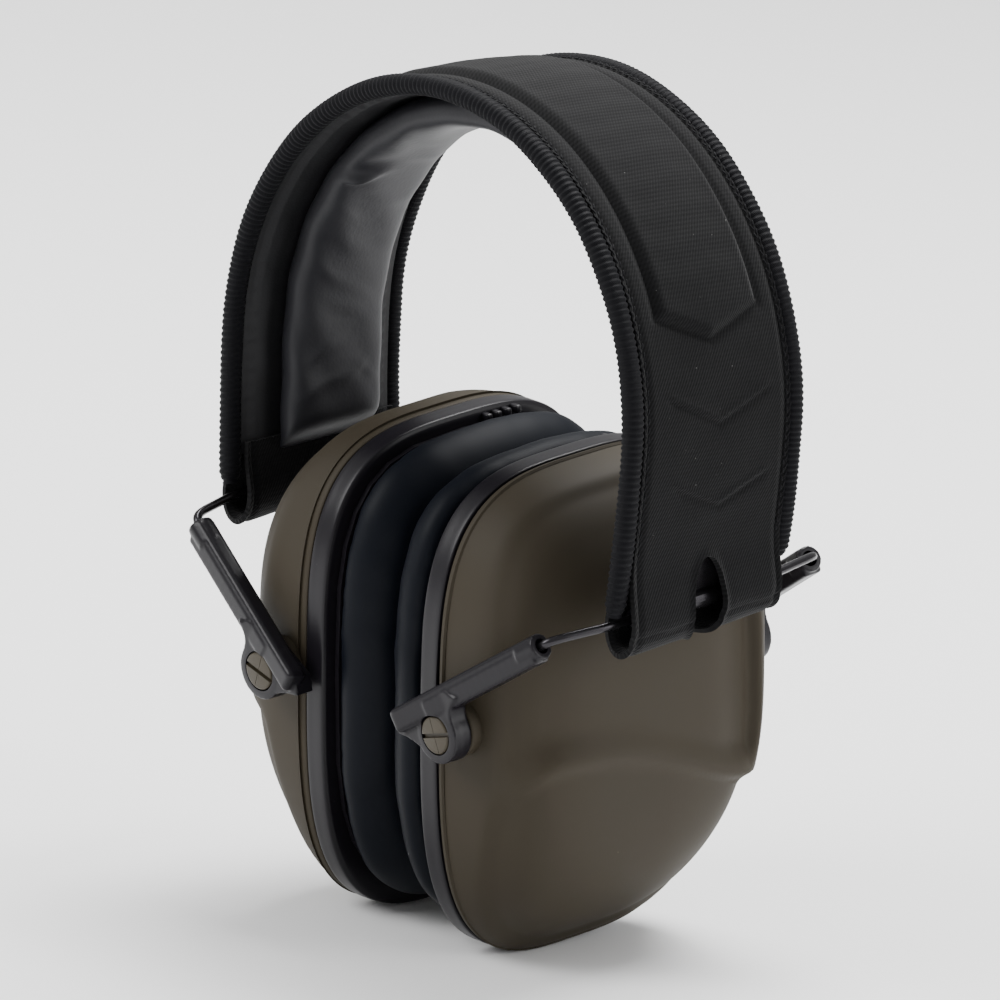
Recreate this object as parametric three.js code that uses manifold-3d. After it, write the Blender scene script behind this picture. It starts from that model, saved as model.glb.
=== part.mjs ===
// Slim folding ear muff: a padded cloth headband, a hinged wire yoke at each end of it,
// four moulded arms that slide on the wires, and two oval cups with ring cushions.
// Millimetres, +Z up, X across the head, -Y towards the front.
// The origin is where the crown of the head meets the pad under the top of the band.
import * as THREE from 'three';
import { mergeVertices } from 'three/addons/utils/BufferGeometryUtils.js';
import Module from 'manifold-3d';

const wasm = await Module();
wasm.setup();

// Headband: a nearly round arch on two legs that lean in a little towards their ends.
const bandHalfSpan = 63;
const bandRise = 63.1;
const bandTop = 10;
const springLine = bandTop - bandRise;
const archPower = 1.97;
const legEnd = -89.5;
const legLean = 0.002;
const archShare = 0.73;
const bandEdge = 22.2;
const bindingRadius = 2.3;
const coverHalfWidth = 19.6;
const coverThickness = 1.5;
const panelRaise = 1.3;
const panelHalfWidth = 13;
const springHalfWidth = 9;
const padHalfWidth = 12.5;
const padDepth = 7.4;

// Everything below the band leans back with the wires, about this frame.
const lean = THREE.MathUtils.degToRad(6.9);
const lowerOrigin = new THREE.Vector3(0, 1.3, -89);
const hingeX = 60.3;
const hingeZ = 1.1;
const hemHalfWidth = 19.6;
const wireRadius = 0.95;
const wireCorner = 22.4;

// Arms, in the lower frame: a bar from an inner tip to an open mouth, with a pivot ear.
const barTip = new THREE.Vector3(16.5, -44.8, -25.3);
const barMouth = new THREE.Vector3(54.4, -37.7, -1);
const barHalfHeight = 2.7;
const barHalfDepth = 2.2;
const wireInsideArm = 30;
const pivotX = 28.2;
const pivotZ = -25.4;
const earRadius = 6.3;
const earOuter = 44.7;
const earInner = 40.1;
const screwHeadRadius = 4.1;
const screwShankRadius = 1.5;
const bossRadius = 6;
const bossFace = 39.7;

// Cups, in the lower frame: depths are measured from the middle of the head.
const cupHalfWidth = 38;
const cupMiddle = -24;
const cupTop = 23.5;
const cupBottom = -82.8;
const topPower = 3.25;
const bottomPower = 3.3;
const cushionFace = 0.3;
const cushionShorter = 3.2;
const rimInner = 15.3;
const rimOuter = 20.8;
const shellSeam = 21.1;
const shellWall = 2.2;
const cupSegments = 28;
const rimLag = 0.05;
const faceLag = 0.042;
const touchGap = 0.3;

const colours = {
  cloth: new THREE.MeshStandardMaterial({ color: 0x1b1b1d, roughness: 0.95, metalness: 0 }),
  binding: new THREE.MeshStandardMaterial({ color: 0x121214, roughness: 0.8, metalness: 0 }),
  leatherette: new THREE.MeshStandardMaterial({ color: 0x26262a, roughness: 0.45, metalness: 0 }),
  foam: new THREE.MeshStandardMaterial({ color: 0x3a3a3c, roughness: 1, metalness: 0 }),
  cushion: new THREE.MeshStandardMaterial({ color: 0x21262e, roughness: 0.5, metalness: 0 }),
  shell: new THREE.MeshStandardMaterial({ color: 0x584f3f, roughness: 0.7, metalness: 0 }),
  greyPlastic: new THREE.MeshStandardMaterial({ color: 0x423f45, roughness: 0.5, metalness: 0 }),
  screw: new THREE.MeshStandardMaterial({ color: 0x6e6655, roughness: 0.5, metalness: 0 }),
  steel: new THREE.MeshStandardMaterial({ color: 0x2a2a2c, roughness: 0.3, metalness: 0.9 }),
  brass: new THREE.MeshStandardMaterial({ color: 0xb08d4a, roughness: 0.35, metalness: 0.9 }),
};

// ---- geometry helpers -------------------------------------------------------------------

function flipFaces(geometry) {
  const index = geometry.index.array;
  for (let i = 0; i < index.length; i += 3) {
    const second = index[i + 1];
    index[i + 1] = index[i + 2];
    index[i + 2] = second;
  }
  return geometry;
}

function signedVolume(geometry) {
  const position = geometry.attributes.position;
  const index = geometry.index.array;
  const corners = [new THREE.Vector3(), new THREE.Vector3(), new THREE.Vector3()];
  let volume = 0;
  for (let i = 0; i < index.length; i += 3) {
    corners.forEach((corner, k) => corner.fromBufferAttribute(position, index[i + k]));
    volume += corners[0].dot(corners[1].clone().cross(corners[2])) / 6;
  }
  return volume;
}

function outward(geometry) {
  return signedVolume(geometry) < 0 ? flipFaces(geometry) : geometry;
}

// Joins rings of points, ring to ring. A loop closes on itself, otherwise fans close both ends.
function loft(rings, loop) {
  const count = rings[0].length;
  const points = rings.flat();
  const faces = [];
  const spans = loop ? rings.length : rings.length - 1;
  for (let r = 0; r < spans; r += 1) {
    const here = r * count;
    const next = ((r + 1) % rings.length) * count;
    for (let k = 0; k < count; k += 1) {
      const after = (k + 1) % count;
      faces.push(here + k, here + after, next + k, here + after, next + after, next + k);
    }
  }
  if (!loop) {
    for (const [ring, turn] of [[0, false], [rings.length - 1, true]]) {
      const middle = new THREE.Vector3();
      rings[ring].forEach((point) => middle.addScaledVector(point, 1 / count));
      points.push(middle);
      for (let k = 0; k < count; k += 1) {
        const a = ring * count + k;
        const b = ring * count + ((k + 1) % count);
        faces.push(points.length - 1, turn ? a : b, turn ? b : a);
      }
    }
  }
  const geometry = new THREE.BufferGeometry().setFromPoints(points);
  geometry.setIndex(faces);
  return outward(geometry);
}

function plain(geometry) {
  const bare = geometry.clone();
  bare.deleteAttribute('normal');
  bare.deleteAttribute('uv');
  return mergeVertices(bare, 1e-4);
}

function toSolid(geometry) {
  const bare = outward(plain(geometry));
  const mesh = new wasm.Mesh({
    numProp: 3,
    vertProperties: new Float32Array(bare.attributes.position.array),
    triVerts: new Uint32Array(bare.index.array),
  });
  return new wasm.Manifold(mesh);
}

function toGeometry(solid) {
  const mesh = solid.getMesh();
  const geometry = new THREE.BufferGeometry();
  geometry.setAttribute('position', new THREE.BufferAttribute(new Float32Array(mesh.vertProperties), 3));
  geometry.setIndex(Array.from(mesh.triVerts));
  return geometry;
}

function join(...geometries) {
  return toGeometry(geometries.map(toSolid).reduce((whole, piece) => whole.add(piece)));
}

function cut(geometry, ...cutters) {
  return toGeometry(cutters.map(toSolid).reduce((whole, piece) => whole.subtract(piece), toSolid(geometry)));
}

// A cylinder along Y between two places.
function rodAlongY(radius, from, to, x, z, sides = 16) {
  const rod = new THREE.CylinderGeometry(radius, radius, Math.abs(to - from), sides);
  return rod.translate(x, (from + to) / 2, z);
}

// A cylinder between two points.
function rodBetween(start, end, radius, sides) {
  const along = end.clone().sub(start);
  const rod = new THREE.CylinderGeometry(radius, radius, along.length(), sides);
  const turn = new THREE.Quaternion().setFromUnitVectors(new THREE.Vector3(0, 1, 0), along.clone().normalize());
  rod.applyQuaternion(turn);
  return rod.translate(...start.clone().add(end).multiplyScalar(0.5).toArray());
}

function mirroredX(geometry) {
  const copy = plain(geometry);
  copy.scale(-1, 1, 1);
  return outward(copy);
}

function mirroredY(geometry) {
  const copy = plain(geometry);
  copy.scale(1, -1, 1);
  return outward(copy);
}

function inLowerFrame(geometry) {
  return plain(geometry).rotateX(lean).translate(...lowerOrigin.toArray());
}

// ---- headband ---------------------------------------------------------------------------

// The band's middle line in the XZ plane. place runs from -1, the left end, to 1, the right end,
// and the ends follow the lean of the yokes across the width.
function bandLine(place, y) {
  const away = Math.abs(place);
  if (away <= archShare) {
    const angle = (away / archShare) * Math.PI / 2;
    const x = bandHalfSpan * Math.sin(angle) ** (2 / archPower);
    const z = springLine + bandRise * Math.max(Math.cos(angle), 0) ** (2 / archPower);
    return new THREE.Vector2(Math.sign(place) * x, z);
  }
  const share = (away - archShare) / (1 - archShare);
  const endHeight = legEnd + y * Math.tan(lean);
  const z = springLine + share * (endHeight - springLine);
  return new THREE.Vector2(Math.sign(place) * (bandHalfSpan - legLean * (springLine - z) ** 2), z);
}

// The point at a place along the band, y across it and out from its middle line.
function onBand(place, y, out) {
  const step = 0.004;
  const before = bandLine(Math.max(place - step, -1), y);
  const after = bandLine(Math.min(place + step, 1), y);
  const along = after.sub(before).normalize();
  const here = bandLine(place, y);
  return new THREE.Vector3(here.x - along.y * out, y, here.y + along.x * out);
}

function bandPlaces(end, count) {
  return Array.from({ length: count + 1 }, (_, k) => -end + (2 * end * k) / count);
}

// A closed section of [y, out] points swept along the band.
function sweepBand(sectionAt, end, count) {
  return loft(bandPlaces(end, count).map((place) => (
    sectionAt(place).map(([y, out]) => onBand(place, y, out))
  )), false);
}

function smooth(low, high, value) {
  const share = THREE.MathUtils.clamp((value - low) / (high - low), 0, 1);
  return share * share * (3 - 2 * share);
}

function coverSection(place) {
  const raised = panelRaise * (1 - smooth(0.5, 0.56, Math.abs(place)));
  const outer = 0.3 + coverThickness;
  return [
    [-coverHalfWidth, 0.3], [-coverHalfWidth, outer], [-panelHalfWidth - 2, outer],
    [-panelHalfWidth, outer + raised], [0, outer + raised * 1.1], [panelHalfWidth, outer + raised],
    [panelHalfWidth + 2, outer], [coverHalfWidth, outer], [coverHalfWidth, 0.3], [0, 0.3],
  ];
}

function stripSection(halfWidth, low, high) {
  return () => [[-halfWidth, low], [-halfWidth, high], [halfWidth, high], [halfWidth, low]];
}

// The lower end of the cover is folded back and sewn, which leaves a loop along Y.
function hemOval(halfLength, wall) {
  const oval = new THREE.Shape().absellipse(0, 0, 4 + wall, 4.2 + wall, 0, Math.PI * 2);
  const rod = new THREE.ExtrudeGeometry(oval, {
    depth: halfLength * 2, bevelEnabled: false, curveSegments: 10,
  });
  rod.rotateX(Math.PI / 2).translate(hingeX + 1, halfLength, hingeZ - 1.1);
  return inLowerFrame(rod);
}

// The oval cut for a cable goes through the outer layer of the hem only.
function cableHole() {
  const oval = new THREE.Shape().absellipse(0, 0, 8.6, 4.6, 0, Math.PI * 2);
  const hole = new THREE.ExtrudeGeometry(oval, { depth: 12, bevelEnabled: false, curveSegments: 12 });
  hole.rotateY(Math.PI / 2).translate(hingeX + 1.2, 1.9, hingeZ + 3.4);
  return inLowerFrame(hole);
}

function bandCover() {
  const strip = sweepBand(coverSection, 0.985, 34);
  const hem = hemOval(hemHalfWidth, 1.1);
  const hemBore = hemOval(hemHalfWidth + 2, 0);
  const hole = cableHole();
  const springSlot = sweepBand(stripSection(springHalfWidth + 0.5, -1, 0.25), 1, 34);
  return cut(
    join(strip, hem, mirroredX(hem)),
    hemBore, mirroredX(hemBore), hole, mirroredX(hole), springSlot,
  );
}

function bandBinding(y, end) {
  const section = Array.from({ length: 6 }, (_, k) => {
    const angle = (k * Math.PI) / 3;
    return [y + bindingRadius * Math.cos(angle), bindingRadius * Math.sin(angle)];
  });
  return sweepBand(() => section, end, 34);
}

// A spring-steel strip along the whole band, curled round each yoke wire at its ends.
function bandSpring() {
  const strip = sweepBand(stripSection(springHalfWidth, -0.7, 0), 0.992, 34);
  const curl = new THREE.Shape().absarc(0, 0, 2.2, 0, Math.PI * 2);
  curl.holes.push(new THREE.Path().absarc(0, 0, wireRadius + touchGap, 0, Math.PI * 2));
  const knuckle = new THREE.ExtrudeGeometry(curl, {
    depth: springHalfWidth * 2, bevelEnabled: false, curveSegments: 10,
  });
  knuckle.rotateX(Math.PI / 2).translate(hingeX, springHalfWidth, hingeZ);
  const right = inLowerFrame(knuckle);
  const bore = inLowerFrame(rodAlongY(wireRadius + touchGap, -14, 14, hingeX, hingeZ, 20));
  return cut(join(strip, right, mirroredX(right)), bore, mirroredX(bore));
}

function bandLining() {
  return sweepBand(stripSection(coverHalfWidth, -2.2, -1), 0.93, 32);
}

function padSection(halfWidth, low, high) {
  const middle = low + (high - low) * 0.5;
  return [
    [-halfWidth, high], [halfWidth, high], [halfWidth + 0.6, middle], [halfWidth - 1.6, low + 0.8],
    [halfWidth * 0.5, low], [-halfWidth * 0.5, low], [-halfWidth + 1.6, low + 0.8],
    [-halfWidth - 0.6, middle],
  ];
}

function padFoam() {
  return sweepBand(() => padSection(padHalfWidth - 1.5, -2.6 - padDepth + 1.2, -2.6), 0.86, 20);
}

// The leatherette skin wraps the foam on three sides and is sewn to the lining along its edges.
function padSkin() {
  const outside = sweepBand(() => padSection(padHalfWidth, -2.6 - padDepth, -2.6), 0.875, 20);
  const hollow = sweepBand(() => padSection(padHalfWidth - 1.1, -2.6 - padDepth + 0.8, -1.9), 0.868, 20);
  return cut(outside, hollow);
}

// ---- wire yokes -------------------------------------------------------------------------

// One bent wire a side: a crossbar in the hem, a slanted run to each arm and a leg inside it.
function yokeWire() {
  const inward = barTip.clone().sub(barMouth).normalize();
  const legEndPoint = barMouth.clone().addScaledVector(inward, wireInsideArm);
  const beyondMouth = barMouth.clone().addScaledVector(inward, -3);
  const corner = new THREE.Vector3(hingeX, -wireCorner, hingeZ);
  const afterCorner = corner.clone().lerp(beyondMouth, 0.3);
  const beforeCorner = new THREE.Vector3(hingeX, -wireCorner + 4.5, hingeZ);
  const midRun = corner.clone().lerp(beyondMouth, 0.72);
  const mirror = (point) => new THREE.Vector3(point.x, -point.y, point.z);
  const path = new THREE.CurvePath();
  path.add(new THREE.LineCurve3(legEndPoint, barMouth.clone().addScaledVector(inward, -1)));
  path.add(new THREE.QuadraticBezierCurve3(barMouth.clone().addScaledVector(inward, -1), beyondMouth, midRun));
  path.add(new THREE.LineCurve3(midRun, afterCorner));
  path.add(new THREE.QuadraticBezierCurve3(afterCorner, corner, beforeCorner));
  path.add(new THREE.LineCurve3(beforeCorner, mirror(beforeCorner)));
  path.add(new THREE.QuadraticBezierCurve3(mirror(beforeCorner), mirror(corner), mirror(afterCorner)));
  path.add(new THREE.LineCurve3(mirror(afterCorner), mirror(midRun)));
  path.add(new THREE.QuadraticBezierCurve3(
    mirror(midRun), mirror(beyondMouth), mirror(barMouth.clone().addScaledVector(inward, -1)),
  ));
  path.add(new THREE.LineCurve3(mirror(barMouth.clone().addScaledVector(inward, -1)), mirror(legEndPoint)));
  const rings = [];
  const steps = 56;
  const frames = path.computeFrenetFrames(steps, false);
  path.getSpacedPoints(steps).forEach((point, step) => {
    const ring = [];
    for (let k = 0; k < 6; k += 1) {
      const angle = (k * Math.PI) / 3;
      ring.push(point.clone()
        .addScaledVector(frames.normals[step], wireRadius * Math.cos(angle))
        .addScaledVector(frames.binormals[step], wireRadius * Math.sin(angle)));
    }
    rings.push(ring);
  });
  return loft(rings, false);
}

// A plastic sleeve keeps the crossbar in the middle of the hem, one each side of the curl.
function hemSleeve() {
  const wall = new THREE.Shape().absarc(0, 0, 2.2, 0, Math.PI * 2);
  wall.holes.push(new THREE.Path().absarc(0, 0, wireRadius + touchGap, 0, Math.PI * 2));
  const length = 6.4;
  const sleeve = new THREE.ExtrudeGeometry(wall, { depth: length, bevelEnabled: false, curveSegments: 7 });
  return sleeve.rotateX(Math.PI / 2).translate(hingeX, -springHalfWidth - 1.8, hingeZ);
}

// ---- arms and pivots --------------------------------------------------------------------

function barSolid() {
  const along = barMouth.clone().sub(barTip);
  const length = along.length();
  const rings = [];
  const stations = [[0, 0.35], [0.6, 0.75], [1.8, 1], [length * 0.5, 1], [length - 0.4, 1], [length, 0.88]];
  const direction = along.clone().normalize();
  const across = new THREE.Vector3(0, 1, 0).addScaledVector(direction, -direction.y).normalize();
  const upright = direction.clone().cross(across).normalize();
  for (const [distance, scale] of stations) {
    const ring = [];
    for (let k = 0; k < 12; k += 1) {
      const angle = (k * Math.PI) / 6;
      const c = Math.cos(angle);
      const s = Math.sin(angle);
      const round = 2 / 3;
      ring.push(barTip.clone().addScaledVector(direction, distance)
        .addScaledVector(across, scale * barHalfDepth * Math.sign(c) * Math.abs(c) ** round)
        .addScaledVector(upright, scale * barHalfHeight * Math.sign(s) * Math.abs(s) ** round));
    }
    rings.push(ring);
  }
  return loft(rings, false);
}

// The ear is a round eye under the bar, with a web that runs into the bar on both sides.
function earSolid() {
  const slope = Math.atan2(barMouth.z - barTip.z, barMouth.x - barTip.x);
  const web = new THREE.Shape();
  web.moveTo(-11.2, 4.2);
  web.quadraticCurveTo(-7.5, 1.5, -earRadius * 0.96, -1.2);
  web.absarc(0, 0, earRadius, Math.PI * 1.06, Math.PI * 2, false);
  web.quadraticCurveTo(earRadius + 0.4, 3.4, 10.4, 4.4);
  web.lineTo(8, 7.4);
  web.lineTo(-9, 7.4);
  web.closePath();
  const plate = new THREE.ExtrudeGeometry(web, {
    depth: earOuter - earInner, bevelEnabled: false, curveSegments: 9,
  });
  plate.rotateX(Math.PI / 2).rotateY(-slope);
  return plate.translate(pivotX, -earInner, pivotZ);
}

function frontArm() {
  const inward = barTip.clone().sub(barMouth).normalize();
  const holeStart = barMouth.clone().addScaledVector(inward, -2);
  const holeEnd = barMouth.clone().addScaledVector(inward, wireInsideArm + 1.5);
  return cut(
    join(barSolid(), earSolid()),
    rodBetween(holeStart, holeEnd, wireRadius + 0.4, 10),
    rodAlongY(screwHeadRadius + 0.35, -earOuter - 2, -earOuter + 1.9, pivotX, pivotZ, 18),
    rodAlongY(screwShankRadius + touchGap, -earOuter - 1, -earInner + 1, pivotX, pivotZ, 12),
  );
}

function pivotScrew() {
  const head = rodAlongY(screwHeadRadius, -earOuter - 0.3, -earOuter + 1.5, pivotX, pivotZ, 18);
  const shank = rodAlongY(screwShankRadius, -earOuter + 1.2, -earOuter + 12, pivotX, pivotZ, 12);
  const slot = new THREE.BoxGeometry(10, 1.8, 0.9).rotateY(THREE.MathUtils.degToRad(12));
  return cut(join(head, shank), slot.translate(pivotX, -earOuter - 0.3, pivotZ));
}

function threadedInsert() {
  const wall = new THREE.Shape().absarc(0, 0, 2.6, 0, Math.PI * 2);
  wall.holes.push(new THREE.Path().absarc(0, 0, screwShankRadius + touchGap, 0, Math.PI * 2));
  const length = 6.2;
  const insert = new THREE.ExtrudeGeometry(wall, { depth: length, bevelEnabled: false, curveSegments: 6 });
  return insert.rotateX(Math.PI / 2).translate(pivotX, -bossFace + length + 0.2, pivotZ);
}

// ---- cups -------------------------------------------------------------------------------

// A ring round the cup at one depth, with rounded corners. Its foot reaches further
// forward than its top, a little less at the outer face.
function cupRing(depth, halfWidth, top, bottom, lowerPower = bottomPower) {
  const lag = rimLag + (faceLag - rimLag) * smooth(rimOuter, 50, depth);
  const ring = [];
  for (let k = 0; k < cupSegments; k += 1) {
    const angle = (k * 2 * Math.PI) / cupSegments;
    const c = Math.cos(angle);
    const s = Math.sin(angle);
    const power = s >= 0 ? topPower : lowerPower;
    const reach = s >= 0 ? top - cupMiddle : cupMiddle - bottom;
    const height = reach * Math.sign(s) * Math.abs(s) ** (2 / power);
    const side = halfWidth * Math.sign(c) * Math.abs(c) ** (2 / power);
    ring.push(new THREE.Vector3(depth, side + lag * height, cupMiddle + height));
  }
  return ring;
}

function insetRing(depth, inset) {
  return cupRing(depth, cupHalfWidth - inset, cupTop - inset, cupBottom + inset);
}

// Sections of the shell: depth, half width, top, bottom and how square the lower half is.
// It tapers most towards the bottom.
const shellSections = [
  [shellSeam, 37.9, 23.4, -82.7, bottomPower], [29, 37.4, 22.7, -79.6, 3.3],
  [38, 36.1, 18.9, -72.6, 3.2], [44, 33.8, 12.7, -65.5, 3.05], [48, 29.4, 4.3, -57, 2.9],
  [49.8, 22, -7.7, -44.5, 2.8],
];

function shellBody() {
  const outside = shellSections.map((section) => cupRing(...section));
  const inside = shellSections.map(([depth, halfWidth, top, bottom, lowerPower]) => cupRing(
    depth === shellSeam ? depth : depth - shellWall,
    halfWidth - shellWall, top - shellWall, bottom + shellWall, lowerPower,
  ));
  return loft([...outside.reverse(), ...inside], false);
}

function cupShell() {
  const boss = rodAlongY(bossRadius, -bossFace, -bossFace + 8, pivotX, pivotZ, 18);
  const bore = rodAlongY(2.6 + touchGap, -bossFace - 1, -bossFace + 9, pivotX, pivotZ, 12);
  return cut(join(shellBody(), boss, mirroredY(boss)), bore, mirroredY(bore));
}

function ringBody(profile, shorter = 0) {
  return loft(profile.map(([depth, inset]) => (
    cupRing(depth, cupHalfWidth - inset, cupTop - inset, cupBottom + inset + shorter)
  )), true);
}

function cupRim() {
  return ringBody([
    [rimInner, 0.5], [rimInner + 0.5, 0], [rimOuter, 0], [rimOuter, 2.6],
    [rimInner + 2, 2.8], [rimInner + 2, 11], [rimInner, 11],
  ]);
}

function cushionPlate() {
  const back = rimInner - touchGap;
  const front = rimInner - 1.5;
  return ringBody([[back, 3], [front, 3], [front, 13], [back, 13]], cushionShorter);
}

// The skin is a bulged ring channel, open to the plate that it is stretched over.
function cushionSkin() {
  return ringBody([
    [13.4, 3], [11, 1], [6.5, 1.2], [2.6, 4], [cushionFace, 9.6],
    [cushionFace, 13], [3, 16.4], [13.4, 16],
    [13.4, 15], [3.8, 15.2], [1.4, 12.6],
    [1.4, 9.8], [3.5, 5], [7, 2.4], [13.4, 4],
  ], cushionShorter);
}

function cushionFoam() {
  return ringBody([
    [13.3, 4.6], [10.8, 3.9], [7.3, 3], [4.1, 5.4], [1.8, 10],
    [4.2, 14.7], [13.3, 14.6],
  ], cushionShorter);
}

function earScreen() {
  const back = insetRing(rimInner + 1.4, 11.4);
  const front = insetRing(rimInner + 0.2, 11.4);
  return loft([front, back], false);
}

function damperFoam() {
  return loft([
    cupRing(rimOuter + 1.2, 30, 14, -73, 2.4), cupRing(36, 28.4, 10.4, -65.5, 2),
    cupRing(43.5, 24, 2, -54, 1.85),
  ], false);
}

// ---- the assembly -----------------------------------------------------------------------

const earMuff = new THREE.Group();
const lower = new THREE.Group();
lower.rotation.x = lean;
lower.position.copy(lowerOrigin);
earMuff.add(lower);

function addPiece(group, name, geometry, material) {
  const mesh = new THREE.Mesh(geometry, material);
  mesh.name = name;
  group.add(mesh);
}

addPiece(earMuff, 'band_cover', bandCover(), colours.cloth);
addPiece(earMuff, 'band_binding_front', bandBinding(-bandEdge, 0.965), colours.binding);
addPiece(earMuff, 'band_binding_rear', bandBinding(bandEdge, 0.945), colours.binding);
addPiece(earMuff, 'band_spring', bandSpring(), colours.steel);
addPiece(earMuff, 'band_lining', bandLining(), colours.cloth);
addPiece(earMuff, 'band_pad_foam', padFoam(), colours.foam);
addPiece(earMuff, 'band_pad_skin', padSkin(), colours.leatherette);

const arm = frontArm();
const screw = pivotScrew();
const insert = threadedInsert();
const sleeve = hemSleeve();
const wire = yokeWire();
const cupPieces = [
  ['cup_shell', cupShell(), colours.shell],
  ['cup_rim', cupRim(), colours.greyPlastic],
  ['cushion_plate', cushionPlate(), colours.greyPlastic],
  ['cushion_skin', cushionSkin(), colours.cushion],
  ['cushion_foam', cushionFoam(), colours.foam],
  ['ear_screen', earScreen(), colours.foam],
  ['damper_foam', damperFoam(), colours.foam],
];

for (const side of ['right', 'left']) {
  const onSide = side === 'right' ? (geometry) => geometry : mirroredX;
  addPiece(lower, `yoke_wire_${side}`, onSide(wire), colours.steel);
  for (const [end, atEnd] of [['front', (geometry) => geometry], ['rear', mirroredY]]) {
    addPiece(lower, `hem_sleeve_${end}_${side}`, onSide(atEnd(sleeve)), colours.greyPlastic);
    addPiece(lower, `arm_${end}_${side}`, onSide(atEnd(arm)), colours.greyPlastic);
    addPiece(lower, `pivot_screw_${end}_${side}`, onSide(atEnd(screw)), colours.screw);
    addPiece(lower, `pivot_insert_${end}_${side}`, onSide(atEnd(insert)), colours.brass);
  }
  for (const [name, geometry, material] of cupPieces) {
    addPiece(lower, `${name}_${side}`, onSide(geometry), material);
  }
}

export default earMuff;
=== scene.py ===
# Slim folding ear muff: cloth headband, wire yokes, sliding arms and oval cups.
# Lengths in the dictionaries are millimetres unless the name says otherwise.
import math

import bpy
import numpy as np
from mathutils import Matrix, Vector


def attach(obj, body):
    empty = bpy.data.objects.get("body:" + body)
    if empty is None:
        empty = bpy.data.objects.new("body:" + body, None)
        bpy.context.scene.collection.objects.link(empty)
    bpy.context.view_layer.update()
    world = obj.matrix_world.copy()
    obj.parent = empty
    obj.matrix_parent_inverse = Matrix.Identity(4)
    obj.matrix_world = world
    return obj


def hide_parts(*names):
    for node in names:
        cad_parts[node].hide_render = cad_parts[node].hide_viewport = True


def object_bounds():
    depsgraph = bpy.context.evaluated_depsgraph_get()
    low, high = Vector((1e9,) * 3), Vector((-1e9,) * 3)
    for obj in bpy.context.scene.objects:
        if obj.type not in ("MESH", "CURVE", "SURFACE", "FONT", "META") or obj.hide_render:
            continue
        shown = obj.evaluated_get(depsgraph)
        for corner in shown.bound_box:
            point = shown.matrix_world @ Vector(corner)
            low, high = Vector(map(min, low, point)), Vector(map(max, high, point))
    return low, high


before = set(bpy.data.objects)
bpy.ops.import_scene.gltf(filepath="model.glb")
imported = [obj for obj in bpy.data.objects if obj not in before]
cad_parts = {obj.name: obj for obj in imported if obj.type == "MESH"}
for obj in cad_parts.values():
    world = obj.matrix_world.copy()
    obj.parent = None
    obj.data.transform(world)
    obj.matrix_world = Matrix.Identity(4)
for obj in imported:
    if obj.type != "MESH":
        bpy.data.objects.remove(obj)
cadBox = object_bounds()
mm = 0.001
bpy.ops.object.select_all(action='DESELECT')
print("frame loaded:", len(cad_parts), "nodes")


# ---- small helpers ----

def onlySelect(*pieces):
    if bpy.context.object and bpy.context.object.mode != 'OBJECT':
        bpy.ops.object.mode_set(mode='OBJECT')
    bpy.ops.object.select_all(action='DESELECT')
    for piece in pieces:
        piece.select_set(True)
    bpy.context.view_layer.objects.active = pieces[0]


def named(name):
    piece = bpy.context.object
    piece.name = name
    piece.data.name = name
    return piece


def coordinates(piece):
    points = np.zeros(len(piece.data.vertices) * 3)
    piece.data.vertices.foreach_get("co", points)
    return points.reshape(-1, 3)


def setCoordinates(piece, points):
    piece.data.vertices.foreach_set("co", np.asarray(points, float).ravel())
    piece.data.update()


def normals(piece):
    values = np.zeros(len(piece.data.vertices) * 3)
    piece.data.vertices.foreach_get("normal", values)
    return values.reshape(-1, 3)


def flatGrid(name, columns, rows):
    # a grid whose corners run from 0 to 1 in x and y
    piece = newPiece(name, "grid", x_subdivisions=columns, y_subdivisions=rows, size=1)
    setCoordinates(piece, coordinates(piece) + (0.5, 0.5, 0))
    return piece


def keepFlatMap(piece, flat):
    # the flat place of every vertex in metres becomes the piece's own UV map
    layer = piece.data.uv_layers.get("flatCloth") or piece.data.uv_layers.new(name="flatCloth")
    corners = np.zeros(len(piece.data.loops), int)
    piece.data.loops.foreach_get("vertex_index", corners)
    layer.data.foreach_set("uv", (flat[corners][:, :2] * mm).ravel())
    piece.data.uv_layers.active = layer


def inEditMode(piece, action):
    onlySelect(piece)
    bpy.ops.object.mode_set(mode='EDIT')
    bpy.ops.mesh.select_all(action='SELECT')
    action()
    bpy.ops.object.mode_set(mode='OBJECT')


def closeSeam(piece, distance=0.00001):
    def weld():
        bpy.ops.mesh.remove_doubles(threshold=distance)
        bpy.ops.mesh.normals_make_consistent(inside=False)
    inEditMode(piece, weld)


def newPiece(name, shape, **settings):
    bpy.ops.object.select_all(action='DESELECT')
    getattr(bpy.ops.mesh, "primitive_" + shape + "_add")(**settings)
    return named(name)


def faceOutward(piece):
    inEditMode(piece, lambda: bpy.ops.mesh.normals_make_consistent(inside=False))


def faceAlong(piece, axis, sign=1):
    # the faces at the far end along an axis are turned to look along it, or against it
    if sign * normals(piece)[np.argmax(coordinates(piece)[:, axis])][axis] < 0:
        inEditMode(piece, bpy.ops.mesh.flip_normals)


def capEnds(piece):
    def close():
        bpy.ops.mesh.select_all(action='DESELECT')
        bpy.ops.mesh.select_non_manifold()
        bpy.ops.mesh.edge_face_add()
        bpy.ops.mesh.select_all(action='SELECT')
        bpy.ops.mesh.normals_make_consistent(inside=False)
    inEditMode(piece, close)


def useModifier(piece, kind, **settings):
    onlySelect(piece)
    modifier = piece.modifiers.new(kind.title(), kind)
    for key, value in settings.items():
        setattr(modifier, key, value)
    bpy.ops.object.modifier_apply(modifier=modifier.name)


def roundRim(piece, width):
    useModifier(piece, 'BEVEL', width=width, segments=4, limit_method='ANGLE', angle_limit=math.radians(50))


def smoothShade(piece, degrees=None):
    onlySelect(piece)
    if degrees is None:
        bpy.ops.object.shade_smooth()
    else:
        bpy.ops.object.shade_smooth_by_angle(angle=math.radians(degrees))


def joinPieces(name, pieces):
    onlySelect(*pieces)
    bpy.ops.object.join()
    return named(name)


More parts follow.
